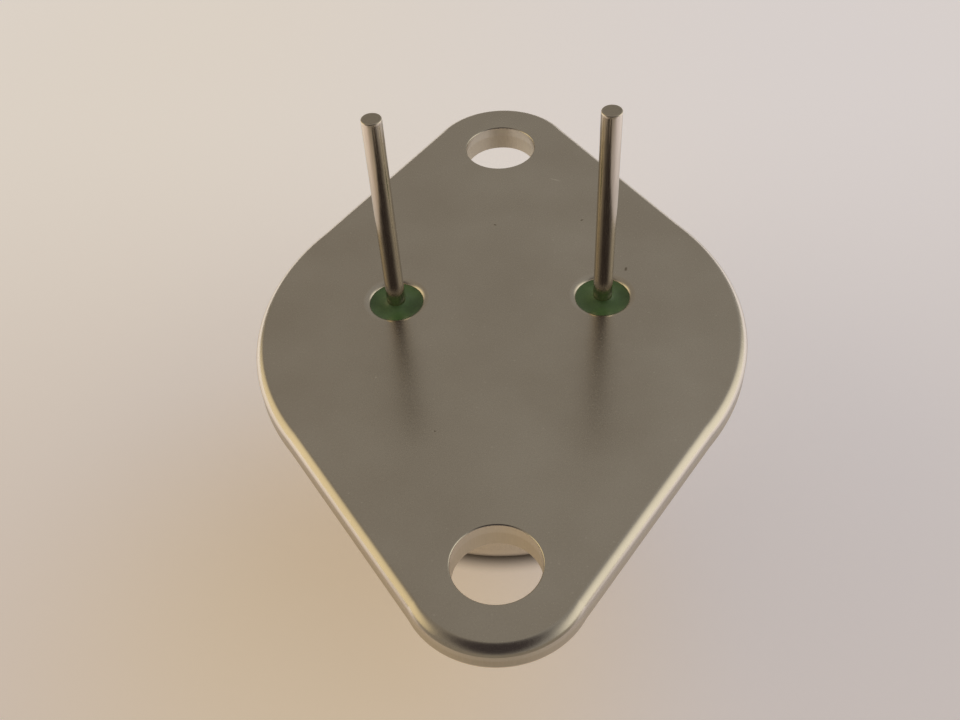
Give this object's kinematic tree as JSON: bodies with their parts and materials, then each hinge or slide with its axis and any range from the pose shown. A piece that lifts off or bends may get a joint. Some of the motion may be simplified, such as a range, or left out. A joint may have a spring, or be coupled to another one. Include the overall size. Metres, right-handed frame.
{
  "type": "voltage regulator",
  "caption": "Metal can voltage regulator with an oval flange, two screw holes and glass-sealed wire leads.",
  "frame": {"origin": "centre of the cap's crown, on the surface that the part stands on", "axes": "+Z out of the mounting face, along the leads; +Y along the flange, towards the ear that the leads are nearer to; +X across, from the input lead to the output lead"},
  "size_m": [0.0254, 0.0388, 0.0194],
  "materials": {
    "header_plating": "satin nickel plating on blanked steel, finely speckled",
    "cap_plating": "satin nickel plating on drawn steel",
    "lead_plating": "bright nickel plating on drawn nickel-iron wire",
    "seal_glass": "dark green sealing glass, glossy",
    "spreader_copper": "copper, machined",
    "silver_braze": "silver braze, dull",
    "soft_solder": "lead-tin solder, dull grey",
    "silicon": "polished silicon with aluminium pads",
    "bond_aluminium": "soft bright aluminium wire"
  },
  "bodies": {
    "root": {"base_plate": "header_plating", "cap": "cap_plating", "input_pin": "lead_plating", "output_pin": "lead_plating", "input_seal": "seal_glass", "output_seal": "seal_glass", "heat_spreader": "spreader_copper", "spreader_braze": "silver_braze", "die_solder": "soft_solder", "die": "silicon", "input_wire": "bond_aluminium", "output_wire": "bond_aluminium", "sense_wire": "bond_aluminium", "ground_wire": "bond_aluminium"}
  },
  "joints": []
}
